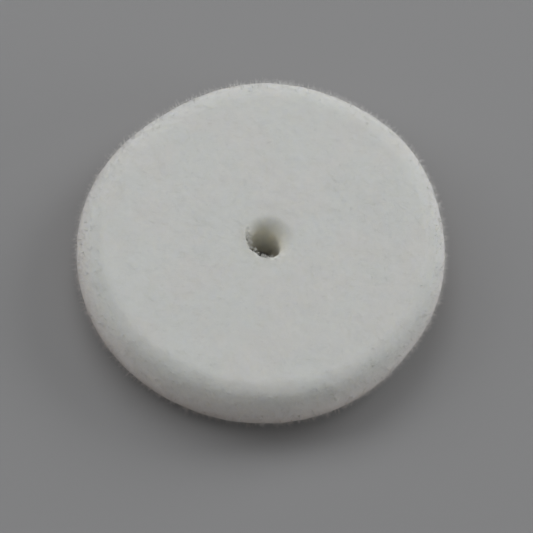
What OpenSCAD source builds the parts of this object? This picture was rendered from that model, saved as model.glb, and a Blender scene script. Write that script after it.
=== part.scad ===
// Felt polishing wheel: one solid disc of pressed wool felt with a plain arbor hole.
// It is cut from a single felt blank, so it has no hub, bush, backing or fastener.
// Millimetres. The origin is the wheel's centre, halfway along the arbor hole; +Z runs along the hole.

/* [Wheel] */
// Outside diameter of the wheel (3 inch)
wheel_d = 76.2; // [50:0.1:152.4]
// Thickness between the two flat faces (1/2 inch)
wheel_t = 12.7; // [9:0.1:25.4]

/* [Soft edges] */
// Rounding where the upper face meets the rim
upper_edge_r = 4.4; // [0.5:0.1:4.4]
// Rounding where the lower face meets the rim
lower_edge_r = 4.4; // [0.5:0.1:4.4]

/* [Arbor hole] */
// Diameter of the straight wall of the arbor hole (1/4 inch)
bore_d = 6.35; // [3:0.05:16]
// Rounding of the felt at each mouth of the hole
mouth_r = 2.2; // [0.2:0.1:3]

/* [Finish] */
// Colour of the undyed felt
felt_colour = "WhiteSmoke"; // [WhiteSmoke, Ivory, Linen, LightGrey]

/* [Hidden] */
$fn = 64;
wheel_r = wheel_d / 2;
bore_r = bore_d / 2;
half_t = wheel_t / 2;

// A quarter disc of radius r at (x, y) that fills the quadrant towards the signs sx and sy
module quarter_disc(x, y, r, sx, sy) {
    translate([x, y])
        intersection() {
            circle(r = r);
            translate([sx > 0 ? 0 : -r, sy > 0 ? 0 : -r]) square(r);
        }
}

// One half of the wheel's section, above (s = 1) or below (s = -1) the middle plane:
// radius along X, height along Y, rounded by mouth_r at the hole and edge_r at the rim
module half_section(edge_r, s) {
    translate([bore_r + mouth_r, s > 0 ? 0 : -half_t])
        square([wheel_r - edge_r - bore_r - mouth_r, half_t]);
    translate([bore_r, s > 0 ? 0 : -(half_t - mouth_r)])
        square([mouth_r, half_t - mouth_r]);
    translate([wheel_r - edge_r, s > 0 ? 0 : -(half_t - edge_r)])
        square([edge_r, half_t - edge_r]);
    quarter_disc(bore_r + mouth_r, s * (half_t - mouth_r), mouth_r, -1, s);
    quarter_disc(wheel_r - edge_r, s * (half_t - edge_r), edge_r, 1, s);
}

// The whole wheel: both half sections turned about the arbor hole's axis
module felt_wheel() {
    color(felt_colour)
        rotate_extrude() {
            half_section(upper_edge_r, 1);
            half_section(lower_edge_r, -1);
        }
}

felt_wheel();
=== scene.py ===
import math

import bpy
import numpy as np
from mathutils import Matrix, Vector


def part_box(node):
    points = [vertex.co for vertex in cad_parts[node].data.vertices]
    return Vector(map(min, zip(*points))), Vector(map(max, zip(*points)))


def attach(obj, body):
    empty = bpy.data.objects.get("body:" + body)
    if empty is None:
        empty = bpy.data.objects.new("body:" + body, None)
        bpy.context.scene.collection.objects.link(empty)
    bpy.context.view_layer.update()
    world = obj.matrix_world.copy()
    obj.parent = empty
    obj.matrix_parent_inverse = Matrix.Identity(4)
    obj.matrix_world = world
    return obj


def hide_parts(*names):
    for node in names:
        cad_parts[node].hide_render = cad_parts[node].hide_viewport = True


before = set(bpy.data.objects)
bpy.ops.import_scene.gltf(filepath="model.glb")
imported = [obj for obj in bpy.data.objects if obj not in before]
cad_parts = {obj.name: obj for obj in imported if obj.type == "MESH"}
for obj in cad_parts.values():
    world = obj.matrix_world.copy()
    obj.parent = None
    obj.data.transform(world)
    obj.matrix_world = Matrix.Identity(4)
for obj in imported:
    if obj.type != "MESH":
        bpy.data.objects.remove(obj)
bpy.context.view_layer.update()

MM = 0.001

# ---------------------------------------------------------------- sizes, from the CAD node's own box
low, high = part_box("felt_wheel")
R = (high.x - low.x) / 2            # 38.1 mm
HALF_T = (high.z - low.z) / 2       # 6.35 mm
BORE_R = 3.175 * MM
TOP_MOUTH = (1.9, 2.5)             # upper mouth's rounding, in mm: in plan, in height; the mean round the hole
LOW_MOUTH = (1.6, 2.4)              # lower mouth's
TOP_EDGE = (5.5, 6.0)               # upper edge's, which meets the lower edge's in one barrel-shaped rim
LOW_EDGE = (4.0, 6.7)

# ---------------------------------------------------------------- camera
# A long lens, 60 degrees above the bench, turned 13 degrees about its own axis.
ELEV = math.radians(60.26)
ROLL = math.radians(12.75)
DIST = 20 * 0.0381
PX_PER_R = 186.45
cam_data = bpy.data.cameras.new("camera")
cam = bpy.data.objects.new("camera", cam_data)
bpy.context.scene.collection.objects.link(cam)
bpy.context.scene.camera = cam
cam_data.sensor_width = 36.0
cam_data.lens = 36.0 * PX_PER_R * 20 / 533
cam_data.clip_start, cam_data.clip_end = 0.05, 30.0
back = Vector((0, -math.cos(ELEV), math.sin(ELEV)))
up0 = Vector((0, math.sin(ELEV), math.cos(ELEV)))
right0 = Vector((1, 0, 0))
right = right0 * math.cos(ROLL) + up0 * math.sin(ROLL)
up = up0 * math.cos(ROLL) - right0 * math.sin(ROLL)
OFF_X, OFF_Y = 3.66 / PX_PER_R * 0.0381, 11.61 / PX_PER_R * 0.0381
cam.matrix_world = Matrix.Translation(back * DIST + right * OFF_X - up * OFF_Y) @ Matrix(
    (right, up, back)).transposed().to_4x4()


# ---------------------------------------------------------------- seeded noise on points, in millimetres
def hashed(i, j, k, seed):
    """A repeatable number from 0 to 1 for each lattice point."""
    h = (i.astype(np.int64) * 374761393 + j.astype(np.int64) * 668265263
         + k.astype(np.int64) * 2147483647 + seed * 1274126177) & 0xFFFFFFFF
    h = ((h ^ (h >> 13)) * 1274126177) & 0xFFFFFFFF
    h = ((h ^ (h >> 16)) * 2246822519) & 0xFFFFFFFF
    return ((h ^ (h >> 15)) & 0xFFFFFF) / float(0xFFFFFF)


def noise(p, size, seed):
    """Smooth noise from -1 to 1 with features about size millimetres across."""
    q = np.asarray(p, float) / size + 1000.0 + seed * 0.37
    base = np.floor(q)
    f = q - base
    f = f * f * f * (f * (f * 6 - 15) + 10)
    i, j, k = base[:, 0], base[:, 1], base[:, 2]
    total = np.zeros(len(q))
    for di in (0, 1):
        for dj in (0, 1):
            for dk in (0, 1):
                w = ((f[:, 0] if di else 1 - f[:, 0]) * (f[:, 1] if dj else 1 - f[:, 1])
                     * (f[:, 2] if dk else 1 - f[:, 2]))
                total += w * hashed(i + di, j + dj, k + dk, seed)
    return total * 2 - 1


def smooth(x, a, b):
    t = np.clip((x - a) / (b - a), 0, 1)
    return t * t * (3 - 2 * t)


# ---------------------------------------------------------------- the wheel's shape, in millimetres
# The felt isn't quite round: it is a little oval, with soft flats, and the hole is 1.1 mm off its middle.
OUT_OF_ROUND = ((1, -0.25, 1.07), (2, -0.83, 0.95), (3, -0.24, -0.22), (4, 0.08, 0.02), (5, -0.04, 0.01),
                (6, 0.04, -0.09), (7, 0.10, 0.00), (8, 0.03, 0.03))


def outline(theta):
    """How far the rim stands from the round, in millimetres, at each angle."""
    d = np.zeros_like(theta)
    for n, a, b in OUT_OF_ROUND:
        d = d + a * np.cos(n * theta) + b * np.sin(n * theta)
    return d


def section():
    """The wheel's section as (radius, height) in millimetres, from the lower mouth round by the upper face to the lower face, with about how far apart the rings are."""
    r0, rb = R / MM, BORE_R / MM
    h = HALF_T / MM
    (ua, ub), (va, vb), (ta, tb), (la, lb) = TOP_MOUTH, LOW_MOUTH, TOP_EDGE, LOW_EDGE
    pts = []

    def line(p, q, step):
        n = int(round(math.dist(p, q) / step))
        for i in range(n):
            t = i / n
            pts.append((p[0] + (q[0] - p[0]) * t, p[1] + (q[1] - p[1]) * t))

    def arc(cx, cy, rx, ry, a, b, step):
        n = max(2, int(round(abs(b - a) * (rx + ry) / 2 / step)))
        for i in range(n):
            t = a + (b - a) * i / n
            pts.append((cx + rx * math.cos(t), cy + ry * math.sin(t)))

    line((rb, -h + vb), (rb, h - ub), 0.28)                                  # the hole's wall
    arc(rb + ua, h - ub, ua, ub, math.pi, math.pi / 2, 0.19)                 # upper mouth
    line((rb + ua, h), (13.5, h), 0.34)
    line((13.5, h), (26, h), 0.40)
    line((26, h), (r0 - ta, h), 0.38)                                        # upper face
    arc(r0 - ta, h - tb, ta, tb, math.pi / 2, 0, 0.34)                       # upper edge
    line((r0, h - tb), (r0, -h + lb), 0.37)                                  # rim
    arc(r0 - la, -h + lb, la, lb, 0, -math.pi / 2, 0.34)                     # lower edge
    line((r0 - la, -h), (26, -h), 0.38)
    line((26, -h), (13.5, -h), 0.40)                                         # lower face
    line((13.5, -h), (rb + va, -h), 0.34)
    arc(rb + va, -h + vb, va, vb, -math.pi / 2, -math.pi, 0.2)               # lower mouth
    return pts


def around(r):
    """How many points a ring of radius r has, so that the mesh is even."""
    return 624 if r > 25.5 else 312 if r > 13.2 else 156


def rings_mesh(path):
    """A closed mesh of rings round the hole's axis, with its faces."""
    rings, verts = [], []
    for r, z in path:
        n = around(r)
        t = np.arange(n) * 2 * math.pi / n
        rings.append((len(verts), n))
        verts.extend(np.stack([r * np.cos(t), r * np.sin(t), np.full(n, z)], 1))
    faces3, faces4 = [], []
    for i in range(len(rings)):
        (a, na), (b, nb) = rings[i], rings[(i + 1) % len(rings)]
        if na == nb:
            k = np.arange(na)
            faces4.append(np.stack([a + k, a + (k + 1) % na, b + (k + 1) % nb, b + k], 1))
            continue
        c, nc, f, nf = (a, na, b, nb) if na < nb else (b, nb, a, na)
        k = np.arange(nc)
        c0, c1 = c + k, c + (k + 1) % nc
        f0, f1, f2 = f + 2 * k, f + 2 * k + 1, f + (2 * k + 2) % nf
        tris = [np.stack([c0, c1, f1], 1), np.stack([c1, f2, f1], 1), np.stack([c0, f1, f0], 1)]
        faces3 += tris if na < nb else [t[:, ::-1] for t in tris]
    return np.array(verts), np.concatenate(faces3), np.concatenate(faces4)


def make_mesh(name, verts, groups, smooth_shade=True):
    """A mesh object from points in millimetres and arrays of faces with 3 or 4 corners each."""
    me = bpy.data.meshes.new(name)
    verts = np.asarray(verts, float) * MM
    me.vertices.add(len(verts))
    me.vertices.foreach_set("co", verts.ravel().astype(np.float32))
    corners = np.concatenate([g.ravel() for g in groups]).astype(np.int32)
    counts = np.concatenate([np.full(len(g), g.shape[1]) for g in groups]).astype(np.int32)
    me.loops.add(len(corners))
    me.loops.foreach_set("vertex_index", corners)
    me.polygons.add(len(counts))
    starts = np.concatenate([[0], np.cumsum(counts)[:-1]]).astype(np.int32)
    me.polygons.foreach_set("loop_start", starts)
    me.polygons.foreach_set("loop_total", counts)
    me.polygons.foreach_set("use_smooth", np.full(len(counts), smooth_shade))
    me.update(calc_edges=True)
    me.validate(verbose=False)
    ob = bpy.data.objects.new(name, me)
    bpy.context.scene.collection.objects.link(ob)
    return ob


def vertex_normals(verts, faces3, faces4):
    n = np.zeros_like(verts)
    tris = np.concatenate([faces3, faces4[:, [0, 1, 2]], faces4[:, [0, 2, 3]]])
    a, b, c = verts[tris[:, 0]], verts[tris[:, 1]], verts[tris[:, 2]]
    fn = np.cross(b - a, c - a)
    for i in range(3):
        np.add.at(n, tris[:, i], fn)
    return n / np.linalg.norm(n, axis=1, keepdims=True), tris, fn


path = section()
verts, f3, f4 = rings_mesh(path)
nrm, _, fn = vertex_normals(verts, f3, f4)
if (nrm * verts)[np.argmax(verts[:, 0])].sum() < 0:      # the faces look outwards
    f3, f4 = f3[:, ::-1].copy(), f4[:, ::-1].copy()
    nrm = -nrm

# Out of round: full at the rim, fading to nothing at the hole, which stays round.
rad = np.hypot(verts[:, 0], verts[:, 1])
theta = np.arctan2(verts[:, 1], verts[:, 0])
rb, rm, hh = BORE_R / MM, R / MM, HALF_T / MM
share = smooth(rad, rb + 3, rm) * 0.35 + 0.65 * np.clip((rad - rb - 2) / (rm - rb - 2), 0, 1)
lean = 0.12 * np.sin(theta * 2 + 0.7) * (verts[:, 2] / hh)          # the cut isn't quite square to the faces
grow = (outline(theta) + lean) * share
shape = verts.copy()
shape[:, 0] *= (rad + grow) / rad
shape[:, 1] *= (rad + grow) / rad

# The upper mouth is wide and deep on one side and nearly sharp on the other.
ua, ub = TOP_MOUTH
WORN = math.radians(55)
wide = ua + 1.5 * np.cos(theta - WORN)
deep = ub + 1.3 * np.cos(theta - WORN)
in_mouth = rad <= rb + ua + 1e-6
upper = (verts[:, 2] > 0) & (rad < rb + 8)
far = rb + wide + (rad - rb - ua) * (8 - wide) / (8 - ua)
to = np.where(upper, np.where(in_mouth, rb + (rad - rb) * wide / ua, far), rad)
opened = 0.22 * smooth(verts[:, 2], -3, 3) * (1 - smooth(rad, rb + 0.5, rb + 4))
shape[:, :2] *= ((to + opened) / rad)[:, None]
foot = hh - ub
lifted = np.where(verts[:, 2] > foot, hh - deep + (verts[:, 2] - foot) * deep / ub, verts[:, 2] * (hh - deep) / foot)
shape[:, 2] = np.where(upper & in_mouth, lifted, shape[:, 2])
shift = 0.35 * smooth(verts[:, 2], -2, 4) * (1 - smooth(rad, rb + 2.0, rb + 7))
shape[:, 0] += math.cos(math.radians(241)) * shift
shape[:, 1] += math.sin(math.radians(241)) * shift
nrm, _, _ = vertex_normals(shape, f3, f4)

# Broad softness of pressed felt: shallow swells on the faces and rim.
up_side = smooth(verts[:, 2], hh - 1.2, hh - 0.2)
swell = 0.10 * noise(shape, 17, 3) + 0.055 * noise(shape, 8, 5)
grain = 0.030 * noise(shape, 3.1, 7) + 0.022 * noise(shape, 1.5, 11) + 0.016 * noise(shape, 0.8, 13)
tuft = np.maximum(0, noise(shape, 1.1, 17)) ** 2 * 0.035
on_bench = smooth(-verts[:, 2], hh - 0.6, hh - 0.05)                # the lower face rests, so it stays flat there
in_hole = 1 - smooth(rad, rb + 0.3, rb + 3.0)
lip = (1 - smooth(rad, rb + 1.0, rb + 2.4)) * smooth(verts[:, 2], hh - 3.2, hh - 1.2) * smooth(-np.cos(theta - WORN), -0.2, 0.6)
outward = swell * (1 - 0.8 * in_hole) + grain + tuft + lip * (0.24 * noise(shape, 0.50, 37) + 0.10 * noise(shape, 0.9, 39))
outward = outward * (1 - on_bench) + on_bench * (-0.06 + 0.05 * noise(shape, 9, 21) + 0.8 * grain)
shaggy = smooth(rad, rm - 6.0, rm - 1.5)                            # the rim's felt is the most broken up
outward += shaggy * (0.03 * noise(shape, 0.8, 43))
shape = shape + nrm * outward[:, None]
# The upper face falls a little towards its edge and dips a little at the hole.
shape[:, 2] -= up_side * (0.16 * smooth(rad, 18, rm - 2) + 0.10 * (1 - smooth(rad, rb + 1, rb + 6)))
shape[:, 2] = np.maximum(shape[:, 2], -hh + 0.003)

body = make_mesh("felt_body", shape, [f3, f4])


# ---------------------------------------------------------------- loose and matted fibres, as geometry
def strands(roots, headings, lengths, thick, bend, rng, rings=5, lift=None):
    """Closed three-sided tubes that start at roots and curve away along headings. Millimetres.
    bend is how far the heading turns over the strand, in radians. lift, if given, is the surface normal at each root:
    the strand then turns within the surface, rising and sinking a little instead of standing up."""
    n = len(roots)
    turn = bend * rng.normal(0, 1, n)
    wave = rng.uniform(0, 2 * math.pi, n)
    curl = bend * 0.6 * rng.normal(0, 1, n)
    if lift is None:
        side = np.cross(headings, rng.normal(size=(n, 3)))
    else:
        side = np.cross(lift, headings)
        curl = curl * 0.06
    side /= np.linalg.norm(side, axis=1, keepdims=True)
    other = np.cross(headings, side)
    step = lengths / (rings - 1)
    line = np.zeros((rings, n, 3))
    line[0] = roots
    for i in range(1, rings):
        t = (i - 0.5) / (rings - 1)
        a = turn * t
        b = curl * np.sin(wave + t * 4.0)
        d = headings * np.cos(a)[:, None] + side * np.sin(a)[:, None] + other * b[:, None]
        d /= np.linalg.norm(d, axis=1, keepdims=True)
        line[i] = line[i - 1] + d * step[:, None]
    if lift is not None:
        rise = rng.uniform(0.04, 0.13, n)
        for i in range(rings):
            line[i] += lift * (rise * math.sin(math.pi * i / (rings - 1)) - 0.03)[:, None]
    spin = rng.uniform(0, 2 * math.pi, n)
    verts = np.zeros((n, rings * 3, 3))
    for i in range(rings):
        t = i / (rings - 1)
        ahead = line[min(i + 1, rings - 1)] - line[max(i - 1, 0)]
        ahead /= np.linalg.norm(ahead, axis=1, keepdims=True)
        u = side - ahead * (side * ahead).sum(1, keepdims=True)
        u /= np.maximum(np.linalg.norm(u, axis=1, keepdims=True), 1e-6)
        v = np.cross(ahead, u)
        r = thick * (1 - 0.55 * t ** 2)
        for k in range(3):
            c = spin + k * 2 * math.pi / 3
            verts[:, i * 3 + k] = line[i] + (u * np.cos(c)[:, None] + v * np.sin(c)[:, None]) * r[:, None]
    quads = []
    for i in range(rings - 1):
        for k in range(3):
            j = (k + 1) % 3
            quads.append([i * 3 + k, i * 3 + j, i * 3 + 3 + j, i * 3 + 3 + k])
    e = (rings - 1) * 3
    return verts, np.array(quads), np.array([[0, 2, 1], [e, e + 1, e + 2]])


class Skin:
    """The body's surface, for picking places on it."""
    def __init__(self, verts, before, faces3, faces4):
        self.n, self.tris, fn = vertex_normals(verts, faces3, faces4)
        self.v = verts
        self.area = np.linalg.norm(fn, axis=1) / 2
        self.mid = before[self.tris].mean(1)            # where each triangle is on the round section

    def pick(self, density, rng):
        """Points on the surface, about density(mid points) of them to the square millimetre, with their normals."""
        want = self.area * density(self.mid)
        total = int(round(want.sum()))
        t = rng.choice(len(want), total, p=want / want.sum())
        a, b = rng.random(total), rng.random(total)
        flip = a + b > 1
        a[flip], b[flip] = 1 - a[flip], 1 - b[flip]
        w = np.stack([1 - a - b, a, b], 1)[:, :, None]
        p = (self.v[self.tris[t]] * w).sum(1)
        n = (self.n[self.tris[t]] * w).sum(1)
        return p, n / np.linalg.norm(n, axis=1, keepdims=True), self.mid[t]


def clumped(p, size, seed, depth):
    """Wool stands up in tufts: a multiplier about 1 that varies over the surface."""
    return 1 + depth * np.clip(noise(p, size, seed) * 1.6, -1, 1)


# ---------------------------------------------------------------- the nap: every strand is a closed tube
skin = Skin(shape, verts, f3, f4)
AMOUNT = 1.0


def plan(p):
    return np.hypot(p[:, 0], p[:, 1]), p[:, 2]


def on_upper(p):
    r, z = plan(p)
    return (z > 0) * smooth(r, rb + 1.2, rb + 3.2) * (1 - smooth(r, rm - 5.5, rm - 1.5))


def on_lower(p):
    r, z = plan(p)
    return (z < 0) * smooth(r, rb + 1.0, rb + 2.4) * (1 - smooth(r, rm - 5.0, rm - 1.5))


def on_rim(p):
    return smooth(plan(p)[0], rm - 6.5, rm - 1.0)


def in_bore(p):
    r, z = plan(p)
    open_side = smooth(np.cos(np.arctan2(p[:, 1], p[:, 0]) - WORN), -0.4, 0.6) * smooth(z, 0.5, 3.0)
    return (1 - smooth(r, rb + 0.3, rb + 1.6)) * (1 - 0.9 * open_side)


def on_lip(p):
    r, z = plan(p)
    crisp = smooth(-np.cos(np.arctan2(p[:, 1], p[:, 0]) - WORN), -0.2, 0.6)      # frayed where the mouth is sharp
    return (1 - smooth(r, rb + 0.9, rb + 2.2)) * smooth(z, hh - 2.8, hh - 1.2) * crisp


def on_low_lip(p):
    r, z = plan(p)
    return (1 - smooth(r, rb + 0.8, rb + 2.4)) * smooth(-z, hh - 2.6, hh - 1.2)


def across(normals, g):
    """A random direction along the surface at each normal."""
    t = np.cross(normals, g.normal(size=normals.shape))
    return t / np.linalg.norm(t, axis=1, keepdims=True)


def standing(zone, per_mm2, length, spread, thick, seed, lean=(0.25, 1.25), bend=0.6, rings=5, longest=1.2):
    """Short loose fibres that stand out of the felt in zone."""
    g = np.random.default_rng(seed)
    roots, normals, at = skin.pick(lambda p: zone(p) * per_mm2 * AMOUNT * clumped(p, 1.7, seed + 1, 0.55), g)
    n = len(roots)
    tilt = g.uniform(lean[0], lean[1], n)[:, None]
    heading = normals * np.cos(tilt) + across(normals, g) * np.sin(tilt)
    size = np.clip(length * np.exp(g.normal(0, spread, n)) * (0.35 + 0.65 * zone(at)), 0.12, longest)
    width = thick * g.uniform(0.75, 1.3, n)
    return strands(roots - normals * 0.06, heading, size, width, bend, g, rings)


def tufts(zone, per_mm2, each, gather, length, spread, thick, seed, lean=(0.2, 1.1), bend=0.5, rings=5, longest=1.25, pull=0.0):
    """Fibres that stand out of the felt in little locks of about each strands, rooted within gather millimetres.
    pull leans the locks in towards the hole's axis."""
    g = np.random.default_rng(seed)
    roots, normals, at = skin.pick(lambda p: zone(p) * per_mm2 * AMOUNT * clumped(p, 2.6, seed + 1, 0.6), g)
    n = len(roots)
    tilt = g.uniform(lean[0], lean[1], n)[:, None]
    heading = normals * np.cos(tilt) + across(normals, g) * np.sin(tilt)
    if pull:
        inward = roots * np.array([-1.0, -1.0, 0.0])
        heading += pull * inward / np.linalg.norm(inward, axis=1, keepdims=True)
        heading /= np.linalg.norm(heading, axis=1, keepdims=True)
    size = np.clip(length * np.exp(g.normal(0, spread, n)) * (0.4 + 0.6 * zone(at)), 0.2, longest)
    width = gather * g.uniform(0.5, 1.3, n)
    many = g.integers(max(2, each - 2), each + 3, n)
    one = np.repeat(np.arange(n), many)
    m = len(one)
    side = across(normals[one], g)
    start = roots[one] + side * (width[one] * np.sqrt(g.random(m)))[:, None] - normals[one] * 0.08
    reach = size[one] * g.uniform(0.55, 1.0, m)
    tip = roots[one] + heading[one] * reach[:, None] + side * (width[one] * g.uniform(-0.2, 0.9, m))[:, None]
    way = tip - start
    long = np.linalg.norm(way, axis=1)
    return strands(start, way / long[:, None], long, thick * g.uniform(0.75, 1.25, m), bend, g, rings)


def matted(zone, per_mm2, length, spread, thick, seed, bend=1.1, rings=8):
    """Longer fibres pressed flat into the felt in zone."""
    g = np.random.default_rng(seed)
    roots, normals, at = skin.pick(lambda p: zone(p) * per_mm2 * AMOUNT * clumped(p, 2.3, seed + 1, 0.5), g)
    n = len(roots)
    size = np.clip(length * np.exp(g.normal(0, spread, n)), 0.6, 3.6)
    width = thick * g.uniform(0.75, 1.25, n)
    return strands(roots, across(normals, g), size, width, bend, g, rings, lift=normals)


NAPS = []
MOST = 180000                       # triangles to a piece


def nap(name, part):
    """Pieces from one set of strands, split by angle round the wheel so that none is too big. None reaches below the bench."""
    pts, quads, caps = part
    n, per = len(pts), pts.shape[1]
    pieces = max(1, math.ceil(n * (len(quads) * 2 + len(caps)) / MOST))
    order = np.argsort(np.arctan2(pts[:, 0, 1], pts[:, 0, 0]), kind="stable")
    for i, chosen in enumerate(np.array_split(order, pieces)):
        v = pts[chosen].reshape(-1, 3).copy()
        v[:, 2] = np.maximum(v[:, 2], -hh + 0.004)
        base = (np.arange(len(chosen)) * per)[:, None, None]
        ob = make_mesh(name if pieces == 1 else "%s_%d" % (name, i + 1), v,
                       [(base + quads).reshape(-1, 4), (base + caps).reshape(-1, 3)])
        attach(ob, "root")
        NAPS.append(ob)


# ---------------------------------------------------------------- felt, as nodes
def node(nt, kind, **values):
    n = nt.nodes.new(kind)
    for key, value in values.items():
        if hasattr(n, key):
            setattr(n, key, value)
        else:
            n.inputs[key].default_value = value
    return n


def felt_material(name, base, warm, grain_strength, contrast=1.0, soak=0.5):
    mat = bpy.data.materials.new(name)
    mat.use_nodes = True
    nt = mat.node_tree
    nt.nodes.clear()
    link = nt.links.new
    out = node(nt, "ShaderNodeOutputMaterial")
    p = node(nt, "ShaderNodeBsdfPrincipled")
    link(p.outputs["BSDF"], out.inputs["Surface"])
    place = node(nt, "ShaderNodeTexCoord")
    mm = node(nt, "ShaderNodeVectorMath", operation="SCALE")
    mm.inputs["Scale"].default_value = 1000.0
    link(place.outputs["Object"], mm.inputs[0])

    def tex(size, detail=2.0, distort=0.0, rough=0.5):
        n = node(nt, "ShaderNodeTexNoise")
        n.inputs["Scale"].default_value = 1.0 / size
        n.inputs["Detail"].default_value = detail
        n.inputs["Roughness"].default_value = rough
        n.inputs["Distortion"].default_value = distort
        link(mm.outputs[0], n.inputs["Vector"])
        return n.outputs["Fac"]

    def remap(fac, a, b, lo, hi):
        n = node(nt, "ShaderNodeMapRange")
        n.inputs["From Min"].default_value = a
        n.inputs["From Max"].default_value = b
        n.inputs["To Min"].default_value = lo
        n.inputs["To Max"].default_value = hi
        link(fac, n.inputs["Value"])
        return n.outputs["Result"]

    def mix(fac, a, b, blend="MIX"):
        n = node(nt, "ShaderNodeMix", data_type="RGBA", blend_type=blend)
        for sock, v in ((n.inputs[0], fac), (n.inputs[6], a), (n.inputs[7], b)):
            if isinstance(v, (int, float)):
                sock.default_value = v
            elif isinstance(v, tuple):
                sock.default_value = (*v, 1.0)
            else:
                link(v, sock)
        return n.outputs[2]

    def maths(op, a, b):
        n = node(nt, "ShaderNodeMath", operation=op)
        for sock, v in zip(n.inputs, (a, b)):
            if isinstance(v, (int, float)):
                sock.default_value = v
            else:
                link(v, sock)
        return n.outputs[0]

    # Patches of warmer and cooler wool, small darker flecks, and the fibres' own fine light and dark
    patch = remap(tex(9.0, 2.0, 0.3), 0.42, 0.62, 0.0, 1.0)
    colour = mix(patch, base, warm)
    mottle = remap(tex(1.6, 3.0, 0.8), 0.30, 0.70, 1 - 0.045 * contrast, 1.0)
    fleck = remap(tex(0.75, 1.0, 0.4), 0.24, 0.36, 1 - 0.07 * contrast, 1.0)
    strand = remap(tex(0.28, 2.0, 2.2), 0.25, 0.75, 1 - 0.05 * contrast, 1 + 0.02 * contrast)
    shade = maths("MULTIPLY", maths("MULTIPLY", mottle, fleck), strand)
    grey = node(nt, "ShaderNodeCombineColor")
    for s in grey.inputs[:3]:
        link(shade, s)
    colour = mix(1.0, colour, grey.outputs[0], "MULTIPLY")

    # Painted light and shade, placed by position: the hole's wall is painted lighter and creamier high up and darker
    # and more olive deeper down, the slope round its upper mouth is painted a little darker and creamier, the lower rim
    # is painted a little warmer and lighter, and the rim's foot by the bench darker
    flat = node(nt, "ShaderNodeVectorMath", operation="MULTIPLY")
    link(mm.outputs[0], flat.inputs[0])
    flat.inputs[1].default_value = (1.0, 1.0, 0.0)
    length = node(nt, "ShaderNodeVectorMath", operation="LENGTH")
    link(flat.outputs[0], length.inputs[0])
    radius = length.outputs["Value"]
    height = node(nt, "ShaderNodeSeparateXYZ")
    link(mm.outputs[0], height.inputs[0])
    # Painted light and shade in the hole: lighter cream high on its wall (painted light), darker olive deeper down
    # (painted shade)
    wall = maths("MULTIPLY", remap(radius, 3.4, 5.4, 1.0, 0.0), remap(height.outputs["Z"], 4.0, 6.3, 1.0, 0.0))
    depth = remap(height.outputs["Z"], 2.5, -4.5, 0.0, 1.0)
    colour = mix(wall, colour, mix(depth, BORE_PAINTED_LIGHT, BORE_PAINTED_SHADE))
    # Painted shade: the slope round the upper mouth is darkened a little
    mouth_shade_mask = maths("MULTIPLY", remap(radius, 3.9, 6.6, 1.0, 0.0), remap(height.outputs["Z"], 1.0, 3.5, 0.0, 1.0))
    colour = mix(mouth_shade_mask, colour, MOUTH_PAINTED_SHADE, "MULTIPLY")
    # Painted warm light: the rim's lower half is made warmer and lighter
    side = maths("MULTIPLY", remap(radius, 34.0, 37.0, 0.0, 1.0), remap(height.outputs["Z"], -1.5, 5.5, 1.0, 0.0))
    colour = mix(side, colour, RIM_PAINTED_WARM_LIGHT)
    # Painted shade: the rim darkens and warms towards the bench
    foot = maths("MULTIPLY", remap(radius, 33.5, 36.0, 0.0, 1.0), remap(height.outputs["Z"], 0.5, -5.5, 0.0, 1.0))
    colour = mix(foot, colour, FOOT_PAINTED_SHADE, "MULTIPLY")
    link(colour, p.inputs["Base Color"])

    # Matted fibres as bump: bent ridges at the size of wool strands over soft lumps
    ridge = tex(0.55, 2.0, 2.6)
    ridge = maths("ABSOLUTE", maths("SUBTRACT", ridge, 0.5), 0.0)
    ridge = remap(ridge, 0.0, 0.16, 1.0, 0.0)
    lumps = tex(1.3, 3.0, 0.6)
    height = maths("ADD", maths("MULTIPLY", ridge, 0.35), lumps)
    bump = node(nt, "ShaderNodeBump")
    bump.inputs["Strength"].default_value = grain_strength
    bump.inputs["Distance"].default_value = 0.00022
    link(height, bump.inputs["Height"])
    link(bump.outputs["Normal"], p.inputs["Normal"])

    link(remap(tex(1.1, 2.0), 0.3, 0.7, 0.90, 1.0), p.inputs["Roughness"])
    p.inputs["Specular IOR Level"].default_value = 0.05
    p.inputs["Sheen Weight"].default_value = 0.0
    # Light soaks a millimetre or two into felt
    p.inputs["Subsurface Weight"].default_value = soak
    p.inputs["Subsurface Radius"].default_value = (1.0, 0.97, 0.86)
    p.inputs["Subsurface Scale"].default_value = 0.0024
    return mat


# Painted light and shade for the hole's wall: lighter cream high up, darker olive deep down
BORE_PAINTED_LIGHT = (0.89, 0.88, 0.815)
BORE_PAINTED_SHADE = (0.79, 0.77, 0.68)
MOUTH_PAINTED_SHADE = (0.94, 0.935, 0.915)        # painted shade round the upper mouth
# painted warm bounce light on the lower rim
RIM_PAINTED_WARM_LIGHT = (0.90, 0.848, 0.81)
FOOT_PAINTED_SHADE = (0.81, 0.775, 0.735)          # painted shade, darker and warmer, on the edge that rests on the bench
FELT = felt_material("pressed_wool_felt", (0.803, 0.817, 0.799), (0.810, 0.814, 0.795), 0.15, 0.55, soak=1.0)
body.data.materials.append(FELT)

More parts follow.
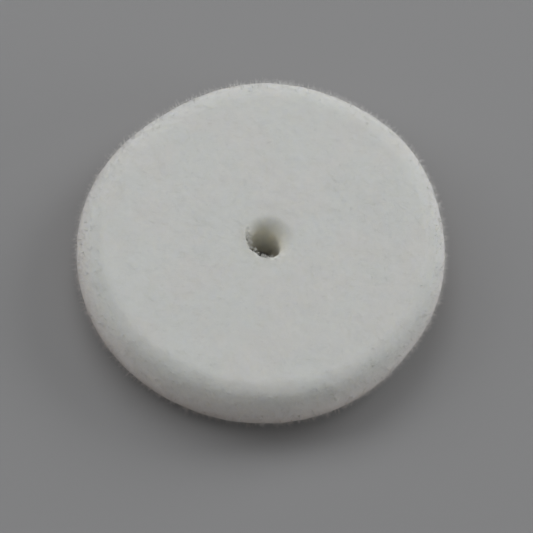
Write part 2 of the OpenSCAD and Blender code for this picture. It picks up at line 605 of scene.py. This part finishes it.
nap("nap_upper_matted", matted(on_upper, 0.75, 1.9, 0.35, 0.012, 101))
nap("nap_upper_loose", standing(on_upper, 1.1, 0.30, 0.40, 0.012, 102, lean=(0.5, 1.4), rings=4))
nap("nap_rim_loose", standing(on_rim, 4.2, 0.88, 0.40, 0.016, 103, lean=(0.1, 1.2), rings=4, longest=1.6))
nap("nap_rim_locks", tufts(on_rim, 0.42, 5, 0.14, 0.95, 0.36, 0.018, 104, lean=(0.1, 0.9), rings=4, longest=1.7))
nap("nap_rim_matted", matted(on_rim, 1.1, 1.1, 0.25, 0.014, 105, rings=6))
nap("nap_hole_loose", standing(in_bore, 3.0, 0.34, 0.40, 0.015, 106, lean=(0.2, 1.2), bend=0.8, rings=5, longest=0.8))
nap("nap_hole_lip", tufts(on_lip, 5.0, 5, 0.09, 0.95, 0.40, 0.032, 107, lean=(0.1, 0.9), pull=1.5, bend=0.8))
nap("nap_hole_low_lip", tufts(on_low_lip, 2.0, 5, 0.12, 0.55, 0.30, 0.018, 108, pull=0.4))
nap("nap_lower_matted", matted(on_lower, 0.8, 1.7, 0.3, 0.013, 109))
nap("nap_lower_loose", standing(on_lower, 0.9, 0.3, 0.3, 0.013, 110, lean=(1.0, 1.5), rings=4))
STRAND = felt_material("loose_wool_fibre", (0.855, 0.865, 0.843), (0.86, 0.86, 0.84), 0.0, 0.4, soak=1.0)
for ob in NAPS:
    ob.data.materials.append(STRAND)
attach(body, "root")
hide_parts("felt_wheel")

# ---------------------------------------------------------------- bench, lights and surroundings
floor = make_mesh("bench", np.array([[-4000, -4000, -hh], [4000, -4000, -hh], [4000, 4000, -hh], [-4000, 4000, -hh]]),
                  [np.array([[0, 1, 2, 3]])], smooth_shade=False)
fm = bpy.data.materials.new("bench_grey")
fm.use_nodes = True
fp = fm.node_tree.nodes["Principled BSDF"]
fp.inputs["Base Color"].default_value = (0.400, 0.401, 0.407, 1)
fp.inputs["Roughness"].default_value = 0.9
fp.inputs["Specular IOR Level"].default_value = 0.1
floor.data.materials.append(fm)

world = bpy.data.worlds.new("studio")
bpy.context.scene.world = world
world.use_nodes = True
world.node_tree.nodes["Background"].inputs["Color"].default_value = (1, 1, 1, 1)
sky = world.node_tree.nodes["Background"]
way = world.node_tree.nodes.new("ShaderNodeTexCoord")
parts = world.node_tree.nodes.new("ShaderNodeSeparateXYZ")
fade = world.node_tree.nodes.new("ShaderNodeMapRange")      # dimmer low down, to meet the far end of the bench
fade.interpolation_type = "SMOOTHSTEP"
fade.inputs["From Min"].default_value, fade.inputs["From Max"].default_value = 0.02, 0.22
fade.inputs["To Min"].default_value, fade.inputs["To Max"].default_value = 0.114, 0.28
world.node_tree.links.new(way.outputs["Generated"], parts.inputs[0])
world.node_tree.links.new(parts.outputs["Z"], fade.inputs["Value"])
world.node_tree.links.new(fade.outputs["Result"], sky.inputs["Strength"])


def area(name, place, size, watts, colour=(1, 1, 1), target=(0, 0, 0)):
    data = bpy.data.lights.new(name, "AREA")
    data.shape = "DISK"
    data.size = size
    data.energy = watts
    data.color = colour
    ob = bpy.data.objects.new(name, data)
    bpy.context.scene.collection.objects.link(ob)
    ob.location = place
    ob.rotation_euler = (Vector(place) - Vector(target)).to_track_quat("Z", "Y").to_euler()
    return ob


def round_light(name, azimuth, elevation, watts):
    """A 0.7 m soft disk, 1.2 m from the wheel."""
    a, e = math.radians(azimuth), math.radians(elevation)
    return area(name, (1.2 * math.cos(e) * math.cos(a), 1.2 * math.cos(e) * math.sin(a), 1.2 * math.sin(e)), 0.7, watts)


round_light("over_back", 112, 52, 2.0)
round_light("over_left", 157, 52, 1.6)
round_light("back_right", 45, 28, 3.7)
round_light("left", 180, 28, 2.35)
round_light("right_low", 0, 10, 2.3)

bpy.context.scene.view_settings.view_transform = "Standard"
bpy.context.scene.view_settings.look = "None"
bpy.context.scene.view_settings.gamma = 0.87
